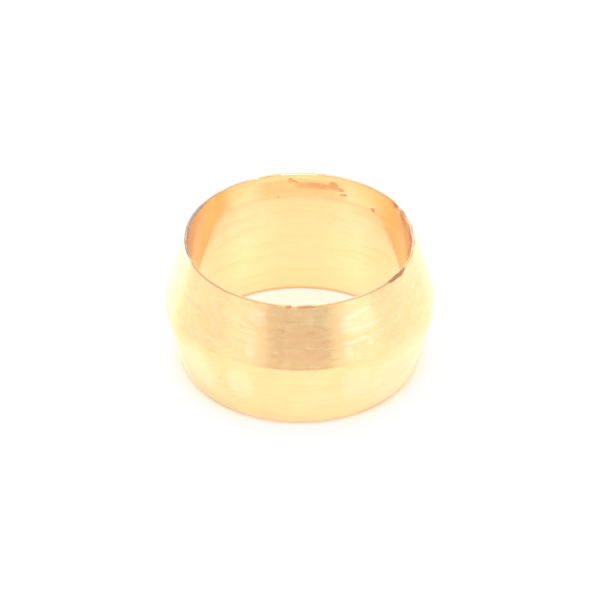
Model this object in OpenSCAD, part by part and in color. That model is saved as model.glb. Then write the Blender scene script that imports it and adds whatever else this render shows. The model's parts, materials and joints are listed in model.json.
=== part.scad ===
// Brass compression ring (olive) for tube fittings: one turned piece.
// The ring stands on its tail face. Z is the tube's axis and Z = 0 is the tail face.
// The bore slides over the tube, the nose cone is pressed into the mouth of the
// fitting, and the nut pushes on the tail cone until the ring grips the tube.

/* [Tube] */
// Outside diameter of the tube that the ring grips
tube_d = 10; // [6:0.5:22]
// Gap between the tube and the bore, measured on the radius
tube_gap = 0.05; // [0.02:0.01:0.15]

/* [Bore] */
// Length of the slight taper at the nose end of the bore
entry_length = 1.3; // [0.5:0.1:2]
// Growth of the bore's radius over that taper
entry_widening = 0.055; // [0.01:0.005:0.08]

/* [Wall] */
// Wall left at the tip of the nose, between the bore's taper and the nose cone
nose_wall = 0.12; // [0.08:0.01:0.4]
// Wall at the band, where the ring is thickest
band_wall = 1.0; // [0.7:0.01:1.6]
// Wall left at the tail face, between the bore and the tail cone
tail_wall = 0.27; // [0.16:0.01:0.6]

/* [Lengths] */
// Length of the nose cone along the axis
nose_length = 2.92; // [2:0.02:6]
// Length of the plain round band between the two cones
band_length = 0.7; // [0.3:0.05:2]
// Length of the tail cone along the axis
tail_length = 2.78; // [1.2:0.02:6]

/* [Edges] */
// Rounding of the edge between the nose cone and the band
crest_round = 0.12; // [0.02:0.01:0.4]
// Rounding of the edge between the band and the tail cone
hip_round = 0.5; // [0.02:0.01:0.8]
// Rounding of the outer edge of the tail face
heel_round = 0.05; // [0.01:0.005:0.08]
// Rounding of the outer edge of the nose tip
tip_round = 0.03; // [0.01:0.005:0.04]
// Width of the deburring chamfer at each mouth of the bore
mouth_chamfer = 0.04; // [0.01:0.005:0.05]

/* [Hidden] */

bore_r = tube_d / 2 + tube_gap;
entry_r = bore_r + entry_widening;
nose_r = entry_r + nose_wall;
band_r = bore_r + band_wall;
tail_r = bore_r + tail_wall;
hip_z = tail_length;
crest_z = hip_z + band_length;
ring_length = crest_z + nose_length;
round_steps = 6;
around = 180;

// Unit vector from point a to point b
function toward(a, b) = (b - a) / norm(b - a);

// Points of an arc of radius r that rounds corner c between its neighbours a and b
function corner_arc(a, c, b, r) =
    let (
        u = toward(c, a),
        v = toward(c, b),
        half = acos(u * v) / 2,
        setback = r / tan(half),
        start = c + u * setback,
        end = c + v * setback,
        centre = c + toward([0, 0], u + v) * (r / sin(half)),
        from = atan2(start.y - centre.y, start.x - centre.x),
        swing = atan2(end.y - centre.y, end.x - centre.x) - from,
        turn = swing > 180 ? swing - 360 : swing < -180 ? swing + 360 : swing
    )
    [for (i = [0 : round_steps])
        centre + r * [cos(from + turn * i / round_steps), sin(from + turn * i / round_steps)]];

// Half section of the ring, as radius and height, with its turned edges rounded
function ring_section() =
    let (
        tail_mouth = [bore_r + mouth_chamfer, 0],
        heel = [tail_r, 0],
        hip = [band_r, hip_z],
        crest = [band_r, crest_z],
        tip = [nose_r, ring_length],
        nose_mouth = [entry_r + mouth_chamfer, ring_length]
    )
    concat(
        [tail_mouth],
        corner_arc(tail_mouth, heel, hip, heel_round),
        corner_arc(heel, hip, crest, hip_round),
        corner_arc(hip, crest, tip, crest_round),
        corner_arc(crest, tip, nose_mouth, tip_round),
        [nose_mouth],
        [[entry_r, ring_length - mouth_chamfer]],
        [[bore_r, ring_length - entry_length]],
        [[bore_r, mouth_chamfer]]
    );

// The whole ring, turned from one bar
module compression_ring() {
    color("goldenrod")
        rotate_extrude($fn = around)
            polygon(ring_section());
}

compression_ring();
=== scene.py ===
import json
import math

import bmesh
import bpy
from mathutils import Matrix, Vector


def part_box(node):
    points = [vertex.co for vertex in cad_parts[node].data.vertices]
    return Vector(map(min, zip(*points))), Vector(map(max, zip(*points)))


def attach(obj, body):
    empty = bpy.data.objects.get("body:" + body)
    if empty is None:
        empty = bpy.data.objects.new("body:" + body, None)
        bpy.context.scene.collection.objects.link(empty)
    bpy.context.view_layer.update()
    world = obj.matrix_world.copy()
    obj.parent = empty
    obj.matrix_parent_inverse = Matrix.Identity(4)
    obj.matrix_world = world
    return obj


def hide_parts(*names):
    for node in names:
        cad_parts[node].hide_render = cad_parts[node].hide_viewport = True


# Looks of a turned brass compression ring for 10 mm tube, standing on its tail face.
# Lengths are in metres, and the tube's axis is Z. Angles round the ring are in degrees from the
# camera's side, positive to the right.

MM = 0.001

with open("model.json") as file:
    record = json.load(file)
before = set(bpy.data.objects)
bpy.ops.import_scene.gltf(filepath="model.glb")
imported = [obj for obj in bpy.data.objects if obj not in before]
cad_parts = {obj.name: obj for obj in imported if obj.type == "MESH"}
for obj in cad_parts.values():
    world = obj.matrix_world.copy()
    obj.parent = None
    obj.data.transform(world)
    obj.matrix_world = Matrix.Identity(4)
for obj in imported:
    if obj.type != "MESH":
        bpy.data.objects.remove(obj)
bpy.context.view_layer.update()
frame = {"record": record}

# Section of the ring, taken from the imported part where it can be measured
LOW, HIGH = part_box("compression_ring")
MOUNTS = {mount["name"]: mount for mount in frame["record"]["mounts"]}
BORE_R = MOUNTS["tube_bore"]["dims"]["r_mm"] * MM
RING_LENGTH = HIGH.z - LOW.z
BAND_R = (HIGH.x - LOW.x) / 2
TAIL_LENGTH = 2.78 * MM
BAND_LENGTH = 0.70 * MM
CREST_Z = TAIL_LENGTH + BAND_LENGTH
TAIL_R = BORE_R + 0.27 * MM
ENTRY_LENGTH = 1.3 * MM
ENTRY_R = BORE_R + 0.055 * MM
NOSE_R = ENTRY_R + 0.12 * MM
MOUTH_CHAMFER = 0.04 * MM
INNER_BREAK = 0.02 * MM
HEEL_ROUND = 0.04 * MM
EDGE_SETBACK = 0.06 * MM
SPIN_STEPS = 480

# Camera of the photograph
CAMERA_DISTANCE = 300 * MM
CAMERA_TILT = math.radians(35.7)
CAMERA_TARGET = Vector((0, 0, 3.0 * MM))
PIXELS_PER_MM = 22.1
IMAGE_PIXELS = 600
SENSOR = 36.0
CENTRE_SHIFT_PIXELS = (0.3, 0.0)

# Light of the studio's walls, as angle round the ring and level
WALL_LIGHT = [
    (-180, 4.6), (-127, 4.6), (-119, 1.15), (-108, 0.92), (-66, 0.98), (-60, 1.32), (-52, 1.22), (-30, 0.87),
    (-25, 0.39), (0, 0.32), (23, 0.37), (30, 0.75), (42, 1.5), (64, 1.45), (74, 0.98), (102, 0.94),
    (118, 1.18), (134, 1.4), (146, 3.0), (180, 3.4),
]
BRIGHTEST_WALL = 5.0
WALL_TOP = (0.25, 0.45)
CEILING_LIGHT = 0.7

# Floor: a white board with a painted warm glow inside the ring and beside its foot, and a painted shadow at
# the foot
FLOOR_RADIUS = 40 * MM
FLOOR_WHITE = (1, 1, 1, 1)
FLOOR_BOARD = (0.93, 0.93, 0.93, 1)
FLOOR_CREAM = (1, 1, 0.78, 1)
FLOOR_GLOW = 0.85
FLOOR_CONTACT_SHADOW = (1.0, 0.79, 0.50, 1)
CONTACT_REACH = 0.16 * MM
FLOOR_EXTRA = 0.345
GLOW_REACH = 0.8 * MM

# Brass, from the pale freshly cut metal, which also paints highlights, to the stained spots, and the darker
# tones of painted shade
BRASS_PALE = (0.98, 0.675, 0.335, 1)
BRASS_WARM = (0.97, 0.63, 0.30, 1)
BRASS_BORE = (0.98, 0.685, 0.415, 1)
BRASS_DEEP = (0.90, 0.56, 0.28, 1)
BRASS_FLANK_SHADE = (0.88, 0.55, 0.33, 1)
BRASS_STREAK = (0.92, 0.565, 0.33, 1)
BRASS_STAIN = (0.80, 0.48, 0.25, 1)
BRASS_RIM_BAND_SHADE = (0.79, 0.67, 0.51, 1)
BRASS_RIM_SHADE = (0.60, 0.50, 0.44, 1)
# The grey, tan, rim and edge tones paint the shade along the lip's rounded edge
BRASS_GREY = (0.55, 0.48, 0.47, 1)
BRASS_TAN = (0.91, 0.57, 0.31, 1)
BRASS_RIM = (0.68, 0.51, 0.42, 1)
# Burr brown, also used as painted shade at the foot, in the bore's foot and on the far lip
BRASS_BURR_AND_SHADE = (0.64, 0.37, 0.20, 1)
BRASS_EDGE = (0.66, 0.47, 0.35, 1)
BRASS_CUT_AND_HIGHLIGHT = (1.0, 0.86, 0.60, 1)
BRASS_FOOT_SHADE = (0.78, 0.52, 0.38, 1)
OUTER_ROUGHNESS = 0.30
BORE_ROUGHNESS = 0.17
TURNING_STRETCH = 0.12
RIM_METAL_DROP = 0.35

# Dents of the thin lip: angle, how far down and outward it is pushed, and the reach, in millimetres
LIP_DENTS = [
    (56, -0.04, 0.0, 0.35),
    (70, 0.02, -0.04, 0.90),
    (83, 0.02, -0.04, 0.90),
    (96, 0.03, -0.06, 0.90),
    (109, 0.05, -0.06, 0.90),
    (120, 0.05, -0.04, 0.50),
    (-156, 0.05, 0.0, 0.30),
    (-139, 0.02, 0.0, 0.30),
    (-40, 0.02, 0.0, 0.50),
    (-75, 0.03, -0.01, 0.60),
]

# Marks, painted shade and painted highlights as angle, height in mm, half angle, half height in mm and slope
# in mm a degree
BORE_GOUGES = [
    (-175.3, 6.13, 1.2, 0.10, 0.0),
    (-177.6, 6.02, 2.8, 0.07, 0.05),
    (173.0, 5.83, 8.5, 0.16, 0.0),
    (162.5, 5.96, 2.6, 0.20, 0.0),
    (158.5, 5.80, 1.6, 0.09, 0.0),
    (156.4, 5.56, 2.0, 0.08, -0.01),
    (139.3, 5.32, 1.7, 0.10, 0.0),
    (-168.8, 5.23, 0.6, 0.04, 0.0),
]
# Scratches of the nose cone; their pale colour is partly a painted highlight, the glint of their flanks
BRIGHT_SCRATCHES_AND_GLINTS = [
    (30.0, 5.04, 10.0, 0.065, -0.003),
    (24.5, 5.62, 3.4, 0.080, 0.003),
    (32.0, 5.78, 3.6, 0.065, 0.0),
    (22.0, 5.34, 3.0, 0.060, 0.0),
    (23.5, 4.47, 3.0, 0.060, 0.0),
    (30.0, 4.50, 6.0, 0.040, -0.007),
    (33.0, 4.17, 1.5, 0.050, -0.03),
    (39.0, 4.56, 1.7, 0.050, -0.01),
    (28.0, 4.57, 3.0, 0.050, 0.0),
    (25.0, 6.28, 2.8, 0.060, 0.0),
]
FAINT_SCRATCHES_AND_GLINTS = [
    (-24.0, 4.97, 3.8, 0.035, 0.005),
    (-19.0, 5.36, 1.8, 0.030, 0.03),
    (-19.0, 5.86, 2.6, 0.080, 0.025),
    (-32.0, 5.36, 1.0, 0.045, 0.05),
    (4.3, 4.48, 2.1, 0.040, -0.015),
    (-10.4, 4.24, 1.4, 0.035, 0.0),
    (-4.6, 5.54, 3.8, 0.030, 0.01),
    (9.7, 4.46, 1.3, 0.030, 0.0),
]
DARK_SCRATCHES = [
    (-5.5, 5.68, 3.8, 0.035, 0.005),
    (-8.6, 5.29, 2.0, 0.045, 0.0),
    (5.4, 5.18, 2.2, 0.045, 0.0),
    (11.6, 4.69, 3.0, 0.035, 0.0),
    (5.3, 4.18, 2.4, 0.035, 0.02),
    (-11.4, 4.05, 1.4, 0.035, 0.0),
    (0.0, 3.53, 13.0, 0.050, 0.0),
    (-37.5, 2.04, 1.3, 0.080, 0.05),
]
SCRATCH_GAPS = [
    (21.9, 5.80, 3.0, 0.060, 0.0),
    (28.1, 5.42, 3.0, 0.060, 0.0),
    (31.1, 4.70, 4.0, 0.050, 0.0),
    (19.7, 4.70, 3.5, 0.050, 0.0),
    (38.3, 4.73, 2.5, 0.050, 0.0),
    (20.8, 4.33, 2.5, 0.050, 0.0),
    (28.0, 4.33, 3.0, 0.050, 0.0),
    (32.7, 4.06, 2.5, 0.050, 0.0),
]
# Painted shade on the lower part of the dark stripe that the nose cone reflects
STRIPE_SHADE_PATCHES = [
    (2.0, 4.55, 12.5, 1.10, 0.0),
]
# Paler patches; the four low on the tail cone are painted light, for the bright floor that it reflects
PALE_AND_LIT_PATCHES = [
    (-52.0, 2.00, 12.0, 1.10, 0.0),
    (50.0, 1.80, 22.0, 1.70, 0.0),
    (27.0, 2.20, 9.0, 1.00, 0.0),
    (-27.0, 2.20, 6.0, 1.00, 0.0),
    (21.8, 4.02, 1.8, 0.35, 0.0),
    (28.0, 5.40, 8.0, 0.60, 0.0),
    (-22.0, 4.20, 2.2, 0.45, 0.0),
    (-21.0, 5.75, 4.0, 0.30, 0.0),
]
# Burrs of the lip on the right; the two at the front paint the dark line of the lip's shade
LIP_BURRS_AND_SHADE = [
    (57.0, 6.38, 8.0, 0.08, 0.0),
    (60.0, 6.32, 2.5, 0.06, 0.01),
    (121.0, 6.38, 1.8, 0.08, 0.0),
    (3.0, 6.36, 7.5, 0.06, 0.0),
    (-5.3, 6.36, 1.7, 0.08, 0.0),
]
# Painted shade low on the tail cone at both sides, for the shaded floor that it reflects
FOOT_SHADE_PATCHES = [
    (-45.0, 0.05, 13.0, 0.60, 0.0),
    (44.0, 0.05, 13.0, 0.35, 0.0),
]
# Painted shade in the bore on the right, below the rim
RIM_SHADE_PATCHES = [
    (113.0, 6.06, 7.0, 0.10, 0.030),
    (103.0, 5.78, 4.5, 0.12, 0.030),
    (99.5, 5.25, 2.2, 0.40, 0.0),
    (103.5, 4.75, 2.2, 0.22, -0.10),
]


def deselect():
    """Nothing is selected and no object is in edit mode."""
    if bpy.context.object and bpy.context.object.mode != "OBJECT":
        bpy.ops.object.mode_set(mode="OBJECT")
    bpy.ops.object.select_all(action="DESELECT")


def make_active(piece):
    """The piece is the one selected, active object."""
    deselect()
    piece.select_set(True)
    bpy.context.view_layer.objects.active = piece


# The ring's mesh

def section_start(name, radius, height):
    """A mesh of one vertex on the section's plane, which the outline is drawn from."""
    deselect()
    bpy.ops.mesh.primitive_plane_add(size=MM, location=(0, 0, 0))
    piece = bpy.context.object
    piece.name = name
    bpy.ops.object.mode_set(mode="EDIT")
    bpy.ops.mesh.select_all(action="SELECT")
    bpy.ops.mesh.merge(type="CENTER")
    bpy.ops.transform.translate(value=(radius, 0, height))
    return piece


def draw_to(here, there, cuts):
    """Extrudes the selected end vertex from one point of the section to the next, in equal steps."""
    step = ((there[0] - here[0]) / cuts, 0, (there[1] - here[1]) / cuts)
    for _ in range(cuts):
        bpy.ops.mesh.extrude_region_move(TRANSFORM_OT_translate={"value": step})


def section_points():
    """Corners of the half section as radius, height and the number of steps that lead there."""
    edge = EDGE_SETBACK
    return [
        ((BORE_R + MOUTH_CHAMFER, 0.0), 0),
        ((TAIL_R - HEEL_ROUND, 0.0), 3),
        ((TAIL_R, HEEL_ROUND), 1),
        ((BAND_R - edge / 4, TAIL_LENGTH - edge), 26),
        ((BAND_R, TAIL_LENGTH + edge), 1),
        ((BAND_R, CREST_Z - edge / 4), 6),
        ((BAND_R - edge / 8, CREST_Z + edge / 4), 1),
        ((NOSE_R + INNER_BREAK / 2, RING_LENGTH - 2 * INNER_BREAK), 40),
        ((NOSE_R - INNER_BREAK, RING_LENGTH), 1),
        ((ENTRY_R + INNER_BREAK, RING_LENGTH), 2),
        ((ENTRY_R, RING_LENGTH - INNER_BREAK), 1),
        ((BORE_R, RING_LENGTH - ENTRY_LENGTH), 14),
        ((BORE_R, MOUTH_CHAMFER), 40),
        ((BORE_R + MOUTH_CHAMFER, 0.0), 1),
    ]


def turned_ring(name):
    """The ring, spun from its half section as on a lathe."""
    points = section_points()
    here = points[0][0]
    weld = 0.002 * MM
    piece = section_start(name, here[0], here[1])
    for there, cuts in points[1:]:
        draw_to(here, there, cuts)
        here = there
    bpy.ops.mesh.select_all(action="SELECT")
    bpy.ops.mesh.remove_doubles(threshold=weld)
    bpy.ops.mesh.select_all(action="SELECT")
    bpy.ops.mesh.spin(steps=SPIN_STEPS, angle=2 * math.pi, center=(0, 0, 0), axis=(0, 0, 1))
    bpy.ops.mesh.select_all(action="SELECT")
    bpy.ops.mesh.remove_doubles(threshold=weld)
    bpy.ops.mesh.normals_make_consistent(inside=False)
    bpy.ops.object.mode_set(mode="OBJECT")
    make_active(piece)
    bpy.ops.object.transform_apply(location=True, rotation=True, scale=True)
    bpy.ops.object.shade_smooth_by_angle(angle=math.radians(12))
    return piece


def on_ring(angle, radius, height):
    """A point by its angle, its radius and its height."""
    turn = math.radians(angle)
    return Vector((radius * math.sin(turn), -radius * math.cos(turn), height))


def press_spots(piece, spots):
    """Pushes small places of the surface, each given as a point, a move and how far the move reaches."""
    make_active(piece)
    bpy.ops.object.mode_set(mode="EDIT")
    bpy.ops.mesh.select_mode(type="VERT")
    for point, move, reach in spots:
        bpy.ops.mesh.select_all(action="DESELECT")
        shape = bmesh.from_edit_mesh(piece.data)
        nearest = min(shape.verts, key=lambda v: (v.co - point).length_squared)
        nearest.select = True
        shape.select_flush_mode()
        bmesh.update_edit_mesh(piece.data)
        bpy.ops.transform.translate(value=move, use_proportional_edit=True, proportional_size=reach,
                                    proportional_edit_falloff="SMOOTH")
    bpy.ops.object.mode_set(mode="OBJECT")


def dent_the_lip(piece):
    """The shallow dents that the thin lip has."""
    lip_r = (ENTRY_R + NOSE_R) / 2
    spots = []
    for angle, down, outward, reach in LIP_DENTS:
        point = on_ring(angle, lip_r, RING_LENGTH)
        move = on_ring(angle, outward * MM, -down * MM)
        spots.append((point, move, reach * MM))
    press_spots(piece, spots)


# Nodes that the materials share

def new_material(name):
    """An empty node material with its Principled shader."""
    material = bpy.data.materials.new(name)
    material.use_nodes = True
    return material, material.node_tree, material.node_tree.nodes["Principled BSDF"]


def feed(tree, value, socket):
    """Links a socket to a node's input, or writes a plain number or colour there."""
    if isinstance(value, bpy.types.NodeSocket):
        tree.links.new(value, socket)
    else:
        socket.default_value = value


def math_node(tree, operation, first, second=None, third=None):
    """A Math node fed by sockets or plain numbers; gives its output socket."""
    node = tree.nodes.new("ShaderNodeMath")
    node.operation = operation
    for slot, value in enumerate((first, second, third)):
        if value is not None:
            feed(tree, value, node.inputs[slot])
    return node.outputs[0]


def times(tree, first, *others):
    """The product of masks, as sockets or plain numbers."""
    for other in others:
        first = math_node(tree, "MULTIPLY", first, other)
    return first


def ramp_between(tree, value, low, high, to_low=0.0, to_high=1.0):
    """A smooth step of a value from low to high."""
    node = tree.nodes.new("ShaderNodeMapRange")
    node.interpolation_type = "SMOOTHSTEP"
    node.inputs["From Min"].default_value = low
    node.inputs["From Max"].default_value = high
    node.inputs["To Min"].default_value = to_low
    node.inputs["To Max"].default_value = to_high
    tree.links.new(value, node.inputs["Value"])
    return node.outputs["Result"]


def noise(tree, vector, scale, detail, roughness=0.5):
    """Noise over a vector, about 0 to 1."""
    node = tree.nodes.new("ShaderNodeTexNoise")
    node.inputs["Scale"].default_value = scale
    node.inputs["Detail"].default_value = detail
    node.inputs["Roughness"].default_value = roughness
    tree.links.new(vector, node.inputs["Vector"])
    return node.outputs["Fac"]


def scaled(tree, vector, factors):
    """A vector with each part multiplied by its own factor."""
    node = tree.nodes.new("ShaderNodeVectorMath")
    node.operation = "MULTIPLY"
    node.inputs[1].default_value = factors
    tree.links.new(vector, node.inputs[0])
    return node.outputs["Vector"]


def mix_values(tree, mask, first, second):
    """Mixes two values, given as sockets or plain numbers."""
    node = tree.nodes.new("ShaderNodeMix")
    node.data_type = "FLOAT"
    feed(tree, mask, node.inputs["Factor"])
    feed(tree, first, node.inputs["A"])
    feed(tree, second, node.inputs["B"])
    return node.outputs["Result"]


def mix_colours(tree, mask, first, second):
    """Mixes two colours, given as sockets or plain values."""
    node = tree.nodes.new("ShaderNodeMix")
    node.data_type = "RGBA"
    feed(tree, mask, node.inputs["Factor"])
    colour_sockets = [socket for socket in node.inputs if socket.type == "RGBA"]
    feed(tree, first, colour_sockets[0])
    feed(tree, second, colour_sockets[1])
    return next(socket for socket in node.outputs if socket.type == "RGBA")


def bump(tree, height, depth, normal=None):
    """A Bump node; depth is the real height of the relief in metres."""
    node = tree.nodes.new("ShaderNodeBump")
    node.inputs["Distance"].default_value = depth
    tree.links.new(height, node.inputs["Height"])
    if normal is not None:
        tree.links.new(normal, node.inputs["Normal"])
    return node.outputs["Normal"]


def new_group(name, inputs, outputs):
    """An empty node group with float sockets, or vector sockets where the name says so."""
    group = bpy.data.node_groups.new(name, "ShaderNodeTree")
    for label in inputs:
        kind = "NodeSocketVector" if label == "Vector" else "NodeSocketFloat"
        group.interface.new_socket(label, in_out="INPUT", socket_type=kind)
    for label in outputs:
        kind = "NodeSocketVector" if label == "Vector" else "NodeSocketFloat"
        group.interface.new_socket(label, in_out="OUTPUT", socket_type=kind)
    return group, group.nodes.new("NodeGroupInput"), group.nodes.new("NodeGroupOutput")


def place_group(tree, group, **values):
    """One use of a node group, with plain numbers or sockets for its inputs."""
    node = tree.nodes.new("ShaderNodeGroup")
    node.node_tree = group
    for label, value in values.items():
        feed(tree, value, node.inputs[label.replace("_", " ")])
    return node.outputs


def place_on_ring_group():
    """Where a point is: angle in degrees, height and radius in mm, how far to the side, and a
    vector that runs along the turning."""
    group, inside, outside = new_group("place_on_ring", ["Vector"],
                                       ["Angle", "Height", "Radius", "Side", "Vector"])
    links = group.links
    split = group.nodes.new("ShaderNodeSeparateXYZ")
    links.new(scaled(group, inside.outputs["Vector"], (1 / MM,) * 3), split.inputs["Vector"])
    x, y, z = split.outputs
    towards = math_node(group, "MULTIPLY", y, -1.0)
    angle = math_node(group, "DEGREES", math_node(group, "ARCTAN2", x, towards))
    square = math_node(group, "MULTIPLY_ADD", x, x, math_node(group, "MULTIPLY", y, y))
    radius = math_node(group, "SQRT", square)
    along = group.nodes.new("ShaderNodeCombineXYZ")
    links.new(math_node(group, "MULTIPLY", x, TURNING_STRETCH), along.inputs["X"])
    links.new(math_node(group, "MULTIPLY", y, TURNING_STRETCH), along.inputs["Y"])
    links.new(math_node(group, "ADD", z, radius), along.inputs["Z"])
    links.new(angle, outside.inputs["Angle"])
    links.new(z, outside.inputs["Height"])
    links.new(radius, outside.inputs["Radius"])
    side = math_node(group, "DIVIDE", math_node(group, "ABSOLUTE", x), radius)
    links.new(side, outside.inputs["Side"])
    links.new(along.outputs["Vector"], outside.inputs["Vector"])
    return group


def mark_group():
    """An oval mark at an angle and height, 1 inside and 0 outside, with a ragged edge."""
    group, inside, outside = new_group(
        "mark", ["Angle", "Height", "Ragged", "Centre Angle", "Centre Height", "Half Angle", "Half Height",
                 "Slope"], ["Mask"])
    given = inside.outputs
    turn = math_node(group, "SUBTRACT", given["Angle"], given["Centre Angle"])
    turn = math_node(group, "WRAP", turn, 180.0, -180.0)
    level = math_node(group, "MULTIPLY_ADD", turn, given["Slope"], given["Centre Height"])
    rise = math_node(group, "SUBTRACT", given["Height"], level)
    across = math_node(group, "DIVIDE", turn, given["Half Angle"])
    up = math_node(group, "DIVIDE", rise, given["Half Height"])
    reach = math_node(group, "MULTIPLY_ADD", across, across, given["Ragged"])
    reach = math_node(group, "MULTIPLY_ADD", up, up, reach)
    group.links.new(ramp_between(group, reach, 1.9, 0.3), outside.inputs["Mask"])
    return group


def marks(tree, group, places, where, ragged):
    """All marks of a list as one mask."""
    together = None
    for centre, level, half_angle, half_height, slope in places:
        mask = place_group(tree, group, Angle=where["Angle"], Height=where["Height"], Ragged=ragged,
                           Centre_Angle=centre, Centre_Height=level, Half_Angle=half_angle,
                           Half_Height=half_height, Slope=slope)["Mask"]
        together = mask if together is None else math_node(tree, "MAXIMUM", together, mask)
    return together


# Brass

def brass_patterns(tree, where, point):
    """Noise patterns of the turned surface, from clouds to the fine lines of the tool."""
    along = where["Vector"]
    short = scaled(tree, along, (3.2, 3.2, 1.0))
    return {
        "spots": noise(tree, point, 2.2, 4.0, 0.6),
        "cloud": noise(tree, point, 0.55, 2.0),
        "fine": noise(tree, along, 9.0, 2.0, 0.6),
        "broad": noise(tree, along, 3.0, 3.0, 0.6),
        "short": noise(tree, short, 6.5, 2.0, 0.5),
    }


def between(tree, value, low, high, soft):
    """1 where a value lies between low and high, and 0 elsewhere, with soft ends."""
    return times(tree, ramp_between(tree, value, low - soft, low + soft),
                 ramp_between(tree, value, high + soft, high - soft))


def lip_masks(tree, where):
    """The thin lip's edge, painted shade and reflection of its rounded edge: grey on the left, bright on the
    right and tan elsewhere.
    """
    length, outer = RING_LENGTH / MM, NOSE_R / MM
    height, radius, angle = where["Height"], where["Radius"], where["Angle"]
    edge = ramp_between(tree, height, length - 0.06, length - 0.035)
    inner_edge = times(tree, ramp_between(tree, height, length - 0.12, length - 0.07),
                       ramp_between(tree, radius, outer - 0.06, outer - 0.08))
    whole_edge = math_node(tree, "MAXIMUM", edge, inner_edge)
    left = between(tree, angle, -124, -92, 6)
    right = between(tree, angle, 80, 119, 5)
    far = math_node(tree, "ABSOLUTE", angle)
    rest = math_node(tree, "SUBTRACT", 1.0, math_node(tree, "MAXIMUM", left, right))
    return {
        "lip_left_shade": times(tree, whole_edge, left),
        "lip_right_shade": times(tree, whole_edge, right),
        "lip_brown_shade": times(tree, edge, between(tree, angle, -90, -66, 6)),
        "lip_far_shade": times(tree, edge, ramp_between(tree, far, 158, 166)),
        "lip_rest_shade": times(tree, edge, rest, ramp_between(tree, where["Side"], 0.40, 0.72, 0.6, 1.0),
                          ramp_between(tree, far, 125, 145, 1.0, 0.5)),
    }


def brass_masks(tree, where, pattern):
    """Masks of the bore, the foot, every mark and every place of painted shade and highlight."""
    height, radius = where["Height"], where["Radius"]
    bore_edge = ENTRY_R / MM
    in_bore = ramp_between(tree, radius, bore_edge + 0.03, bore_edge + 0.01)
    outside = math_node(tree, "SUBTRACT", 1.0, in_bore)
    angle = where["Angle"]
    far = math_node(tree, "ABSOLUTE", angle)
    belt_left = between(tree, angle, -158, -140, 6)
    belt_sides = math_node(tree, "MAXIMUM", belt_left, between(tree, angle, 131, 158, 6))
    rim_left = between(tree, angle, -114, -72, 14)
    rim_sides = math_node(tree, "MAXIMUM", rim_left, between(tree, angle, 74, 112, 14))
    foot_edge_shade = times(tree, outside, ramp_between(tree, height, 0.22, 0.10))
    mark = mark_group()
    ragged = math_node(tree, "MULTIPLY_ADD", pattern["spots"], 3.2, -1.6)
    frayed = math_node(tree, "MULTIPLY_ADD", pattern["short"], 1.8, -0.8)
    return {
        "in_bore": in_bore,
        "outside": outside,
        "streak": times(tree, in_bore, ramp_between(tree, far, 146, 174),
                        ramp_between(tree, height, 6.0, 5.5)),
        "flank_shade": times(tree, in_bore, ramp_between(tree, far, 151, 132), ramp_between(tree, far, 116, 126),
                        ramp_between(tree, height, 5.3, 4.3)),
        "belt": times(tree, in_bore, ramp_between(tree, height, 5.0, 5.5), belt_sides),
        "far_rim": times(tree, in_bore, ramp_between(tree, height, 6.0, 6.2),
                         ramp_between(tree, far, 152, 160)),
        "rim": times(tree, in_bore, ramp_between(tree, height, 3.2, 5.8), rim_sides),
        "foot": ramp_between(tree, height, 1.5, 0.1),
        "foot_edge_shade": foot_edge_shade,
        "foot_corner_shade": times(tree, foot_edge_shade, between(tree, where["Side"], 0.52, 0.82, 0.12)),
        "foot_shade_patches": times(tree, marks(tree, mark, FOOT_SHADE_PATCHES, where, ragged), outside),
        "bore_foot_shade": times(tree, in_bore, ramp_between(tree, height, 0.23, 0.12),
                           ramp_between(tree, far, 100, 130, 0.3, 1.0)),
        "on_cone": times(tree, outside, ramp_between(tree, height, CREST_Z / MM, CREST_Z / MM + 0.1)),
        "gouges": times(tree, marks(tree, mark, BORE_GOUGES, where, ragged), in_bore),
        "bright": times(tree, marks(tree, mark, BRIGHT_SCRATCHES_AND_GLINTS, where, frayed), outside),
        "faint": times(tree, marks(tree, mark, FAINT_SCRATCHES_AND_GLINTS, where, frayed), outside),
        "dark": times(tree, marks(tree, mark, DARK_SCRATCHES, where, frayed), outside),
        "deep": times(tree, marks(tree, mark, STRIPE_SHADE_PATCHES, where, frayed), outside),
        "gaps": times(tree, marks(tree, mark, SCRATCH_GAPS, where, frayed), outside),
        "pale": times(tree, marks(tree, mark, PALE_AND_LIT_PATCHES, where, frayed), outside),
        "rim_shade_patches": times(tree, marks(tree, mark, RIM_SHADE_PATCHES, where, ragged), in_bore),
        "burrs_and_shade": marks(tree, mark, LIP_BURRS_AND_SHADE, where, frayed),
    }


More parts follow.
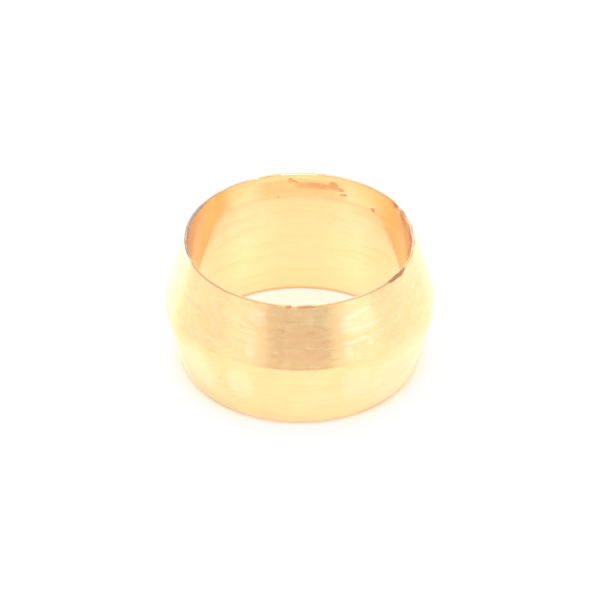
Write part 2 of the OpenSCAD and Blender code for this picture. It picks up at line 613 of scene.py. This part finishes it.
def brass_colour(tree, pattern, mask):
    """Pale brass with a faint grain, deeper at the foot as painted shade, and all marks on it, with painted
    shade on the lip, the bore's side walls, the nose cone's stripe and the foot, and painted highlights on
    scratches and low on the tail cone.
    """
    colour = mix_colours(tree, ramp_between(tree, pattern["cloud"], 0.35, 0.65), BRASS_WARM, BRASS_PALE)
    colour = mix_colours(tree, mask["in_bore"], colour, BRASS_BORE)
    grain = mix_values(tree, mask["in_bore"], 0.38, 0.40)
    colour = mix_colours(tree, times(tree, ramp_between(tree, pattern["broad"], 0.45, 0.7), grain),
                         colour, BRASS_DEEP)
    fine_lines = ramp_between(tree, pattern["short"], 0.35, 0.7)
    colour = mix_colours(tree, times(tree, fine_lines, mask["on_cone"], 0.2), colour, BRASS_CUT_AND_HIGHLIGHT)
    colour = mix_colours(tree, times(tree, fine_lines, mask["in_bore"], 0.14), colour, BRASS_DEEP)
    layers = [
        ("streak", 0.6, BRASS_STREAK),
        # Painted shade on the bore's side walls towards the back, widening their darker reflection
        ("flank_shade", 0.4, BRASS_FLANK_SHADE),
        ("belt", 0.85, BRASS_CUT_AND_HIGHLIGHT),
        ("far_rim", 0.7, BRASS_CUT_AND_HIGHLIGHT),
        # Painted shade on the nose cone's dark stripe
        ("deep", 0.8, BRASS_DEEP),
        # Painted shade on the upper side walls of the bore
        ("rim", 0.9, BRASS_RIM_BAND_SHADE),
        # Darker painted shade patches on the right of the bore
        ("rim_shade_patches", 0.6, BRASS_RIM_SHADE),
        # Painted shade towards the foot and along its edge, where the cone reflects the floor that the ring
        # shades
        ("foot", 0.2, BRASS_DEEP),
        ("foot_shade_patches", 0.45, BRASS_DEEP),
        ("foot_edge_shade", 0.9, BRASS_FOOT_SHADE),
        ("foot_corner_shade", 0.5, BRASS_BURR_AND_SHADE),
        # Painted shade along the foot of the bore at the back
        ("bore_foot_shade", 0.75, BRASS_BURR_AND_SHADE),
        ("gouges", 0.85, BRASS_STAIN),
        ("gaps", 0.4, BRASS_DEEP),
        ("dark", 0.45, BRASS_STAIN),
        # Paler patches, partly painted light low on the tail cone
        ("pale", 0.25, BRASS_CUT_AND_HIGHLIGHT),
        # Scratches with a painted highlight
        ("bright", 0.7, BRASS_CUT_AND_HIGHLIGHT),
        ("faint", 0.5, BRASS_CUT_AND_HIGHLIGHT),
        # Painted shade along the lip's rounded edge
        ("lip_rest_shade", 0.9, BRASS_TAN),
        ("lip_brown_shade", 0.9, BRASS_EDGE),
        ("lip_left_shade", 0.95, BRASS_GREY),
        ("lip_right_shade", 0.9, BRASS_RIM),
        ("lip_far_shade", 0.25, BRASS_BURR_AND_SHADE),
        # Burrs, with painted shade along the front of the lip
        ("burrs_and_shade", 0.9, BRASS_BURR_AND_SHADE),
    ]
    for name, share, paint in layers:
        colour = mix_colours(tree, times(tree, mask[name], share), colour, paint)
    return colour


def brass_roughness(tree, pattern, mask):
    """Smoother in the bore, duller where the surface is scratched or torn."""
    rough = mix_values(tree, mask["in_bore"], OUTER_ROUGHNESS, BORE_ROUGHNESS)
    rough = math_node(tree, "MULTIPLY_ADD", math_node(tree, "SUBTRACT", pattern["spots"], 0.5), 0.14, rough)
    added = [("gouges", 0.2), ("bright", 0.08), ("burrs_and_shade", 0.3), ("lip_left_shade", 0.15), ("lip_right_shade", 0.15),
             ("rim", 0.04)]
    for name, more in added:
        rough = math_node(tree, "MULTIPLY_ADD", mask[name], more, rough)
    return rough


def brass_metal(tree, mask):
    """All metal, less so on the band of painted shade near the rim of the bore."""
    return math_node(tree, "MULTIPLY_ADD", mask["rim"], -RIM_METAL_DROP, 1.0)


def brass_relief(tree, pattern, mask):
    """Lines of the tool, scratches and gouges."""
    fine = times(tree, pattern["fine"], mix_values(tree, mask["in_bore"], 1.0, 0.4))
    broad = times(tree, pattern["broad"], mix_values(tree, mask["in_bore"], 1.0, 0.15))
    short = times(tree, ramp_between(tree, pattern["short"], 0.3, 0.75), mask["on_cone"])
    normal = bump(tree, fine, 0.006 * MM)
    normal = bump(tree, broad, 0.006 * MM, normal)
    normal = bump(tree, short, 0.0015 * MM, normal)
    return bump(tree, mask["gouges"], -0.006 * MM, normal)


def turned_brass():
    """Bright turned brass with tool marks, scratches on the nose cone and gouges in the bore, and painted
    shade and highlights.
    """
    material, tree, shader = new_material("turned_brass")
    coordinates = tree.nodes.new("ShaderNodeTexCoord").outputs["Object"]
    where = place_group(tree, place_on_ring_group(), Vector=coordinates)
    pattern = brass_patterns(tree, where, scaled(tree, coordinates, (1 / MM,) * 3))
    mask = brass_masks(tree, where, pattern) | lip_masks(tree, where)
    tree.links.new(brass_colour(tree, pattern, mask), shader.inputs["Base Color"])
    tree.links.new(brass_roughness(tree, pattern, mask), shader.inputs["Roughness"])
    tree.links.new(brass_relief(tree, pattern, mask), shader.inputs["Normal"])
    tree.links.new(brass_metal(tree, mask), shader.inputs["Metallic"])
    shader.inputs["Anisotropic"].default_value = 0.9
    shader.inputs["Anisotropic Rotation"].default_value = 0.25
    return material


# Floor

def floor_tints(tree):
    """White with a painted cream glow where the brass throws warm light: inside the ring, and beside its
    foot too, and a painted warm shadow where the foot meets the board.
    """
    coordinates = tree.nodes.new("ShaderNodeTexCoord").outputs["Object"]
    where = place_group(tree, bpy.data.node_groups["place_on_ring"], Vector=coordinates)
    radius, side = where["Radius"], where["Side"]
    across = math_node(tree, "MULTIPLY", radius, side)
    hole = times(tree, ramp_between(tree, radius, BORE_R / MM + 0.1, BORE_R / MM - 0.1),
                 ramp_between(tree, across, 0.4, 3.8, 1.0, 0.5))
    beside = ramp_between(tree, side, 0.15, 0.6, 0.3, 1.0)
    glow = times(tree, ramp_between(tree, radius, (TAIL_R + GLOW_REACH) / MM, TAIL_R / MM), beside)
    glow = times(tree, glow, ramp_between(tree, radius, BORE_R / MM, TAIL_R / MM))
    contact_shadow = ramp_between(tree, radius, (TAIL_R + CONTACT_REACH) / MM, (TAIL_R - HEEL_ROUND) / MM)
    contact_shadow = times(tree, contact_shadow, ramp_between(tree, radius, BORE_R / MM, BORE_R / MM + 0.1))
    inside = mix_colours(tree, hole, FLOOR_WHITE, FLOOR_CREAM)
    beside_foot = mix_colours(tree, glow, inside, FLOOR_CREAM)
    return inside, mix_colours(tree, contact_shadow, beside_foot, FLOOR_CONTACT_SHADOW)


def pale_floor():
    """Matt white board that stays bright for the camera and in the metal, and keeps a soft shadow."""
    material, tree, shader = new_material("pale_floor")
    nodes, links = tree.nodes, tree.links
    nodes.remove(shader)
    board = nodes.new("ShaderNodeBsdfDiffuse")
    board.inputs["Color"].default_value = FLOOR_BOARD
    inside, inside_and_beside = floor_tints(tree)
    metal_glow = nodes.new("ShaderNodeEmission")
    links.new(inside, metal_glow.inputs["Color"])
    camera_glow = nodes.new("ShaderNodeEmission")
    links.new(inside_and_beside, camera_glow.inputs["Color"])
    dim_board = nodes.new("ShaderNodeBsdfDiffuse")
    dim_board.inputs["Color"].default_value = (FLOOR_EXTRA, FLOOR_EXTRA, FLOOR_EXTRA, 1)
    both = nodes.new("ShaderNodeAddShader")
    links.new(metal_glow.outputs[0], both.inputs[0])
    links.new(dim_board.outputs[0], both.inputs[1])
    rays = nodes.new("ShaderNodeLightPath")
    seen_by_metal = nodes.new("ShaderNodeMixShader")
    links.new(rays.outputs["Is Glossy Ray"], seen_by_metal.inputs["Fac"])
    links.new(board.outputs[0], seen_by_metal.inputs[1])
    links.new(both.outputs[0], seen_by_metal.inputs[2])
    seen_by_camera = nodes.new("ShaderNodeMixShader")
    links.new(times(tree, rays.outputs["Is Camera Ray"], FLOOR_GLOW), seen_by_camera.inputs["Fac"])
    links.new(seen_by_metal.outputs[0], seen_by_camera.inputs[1])
    links.new(camera_glow.outputs[0], seen_by_camera.inputs[2])
    links.new(seen_by_camera.outputs[0], nodes["Material Output"].inputs["Surface"])
    return material


# Studio

def add_floor():
    """A round white board under the ring."""
    deselect()
    bpy.ops.mesh.primitive_circle_add(vertices=96, radius=FLOOR_RADIUS, fill_type="NGON", location=(0, 0, 0))
    floor = bpy.context.object
    floor.name = "floor"
    floor.data.materials.append(pale_floor())


def add_camera():
    """The camera at the photograph's angle, distance and scale."""
    back = Vector((0, -math.cos(CAMERA_TILT), math.sin(CAMERA_TILT)))
    data = bpy.data.cameras.new("camera")
    camera = bpy.data.objects.new("camera", data)
    bpy.context.scene.collection.objects.link(camera)
    camera.location = CAMERA_TARGET + back * CAMERA_DISTANCE
    camera.rotation_euler = (math.radians(90) - CAMERA_TILT, 0, 0)
    data.sensor_width = SENSOR
    data.lens = PIXELS_PER_MM * (CAMERA_DISTANCE / MM) * SENSOR / IMAGE_PIXELS
    data.shift_x = CENTRE_SHIFT_PIXELS[0] / IMAGE_PIXELS
    data.shift_y = CENTRE_SHIFT_PIXELS[1] / IMAGE_PIXELS
    data.clip_start = 0.01
    data.clip_end = 10.0
    bpy.context.scene.camera = camera


def wall_level(tree, x, y):
    """Light of the walls by the angle round the ring."""
    turn = math_node(tree, "ARCTAN2", x, math_node(tree, "MULTIPLY", y, -1.0))
    share = math_node(tree, "MULTIPLY_ADD", turn, 0.5 / math.pi, 0.5)
    walls = tree.nodes.new("ShaderNodeValToRGB")
    ramp = walls.color_ramp
    while len(ramp.elements) < len(WALL_LIGHT):
        ramp.elements.new(0.5)
    for element, (angle, level) in zip(ramp.elements, WALL_LIGHT):
        grey = level / BRIGHTEST_WALL
        element.position = (angle + 180) / 360
        element.color = (grey, grey, grey, 1)
    tree.links.new(share, walls.inputs["Fac"])
    return math_node(tree, "MULTIPLY", walls.outputs["Color"], BRIGHTEST_WALL)


def add_world():
    """A white room whose walls have brighter and darker stretches for the metal; white for the camera."""
    world = bpy.data.worlds.new("studio")
    bpy.context.scene.world = world
    world.use_nodes = True
    tree = world.node_tree
    split = tree.nodes.new("ShaderNodeSeparateXYZ")
    tree.links.new(tree.nodes.new("ShaderNodeTexCoord").outputs["Generated"], split.inputs["Vector"])
    x, y, z = split.outputs
    room = mix_values(tree, ramp_between(tree, z, *WALL_TOP), wall_level(tree, x, y), CEILING_LIGHT)
    rays = tree.nodes.new("ShaderNodeLightPath")
    background = tree.nodes["Background"]
    background.inputs["Color"].default_value = (1, 1, 1, 1)
    tree.links.new(mix_values(tree, rays.outputs["Is Camera Ray"], room, 1.0), background.inputs["Strength"])


def add_lamp(name, location, size, power):
    """A round soft lamp that points at the ring."""
    data = bpy.data.lights.new(name, "AREA")
    data.shape = "DISK"
    data.size = size
    data.energy = power
    lamp = bpy.data.objects.new(name, data)
    bpy.context.scene.collection.objects.link(lamp)
    lamp.location = location
    direction = CAMERA_TARGET - Vector(location)
    lamp.rotation_euler = direction.to_track_quat("-Z", "Y").to_euler()


# Assembly

add_camera()
add_world()
add_lamp("top_softbox", (0, 0.03, 0.4), 0.3, 0.7)
add_lamp("front_softbox", (0, -0.22, 0.36), 0.2, 0.35)

ring = turned_ring("brass_ring")
dent_the_lip(ring)
ring.data.materials.append(turned_brass())
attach(ring, "root")
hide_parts("compression_ring")
add_floor()

bpy.context.scene.view_settings.view_transform = "Standard"
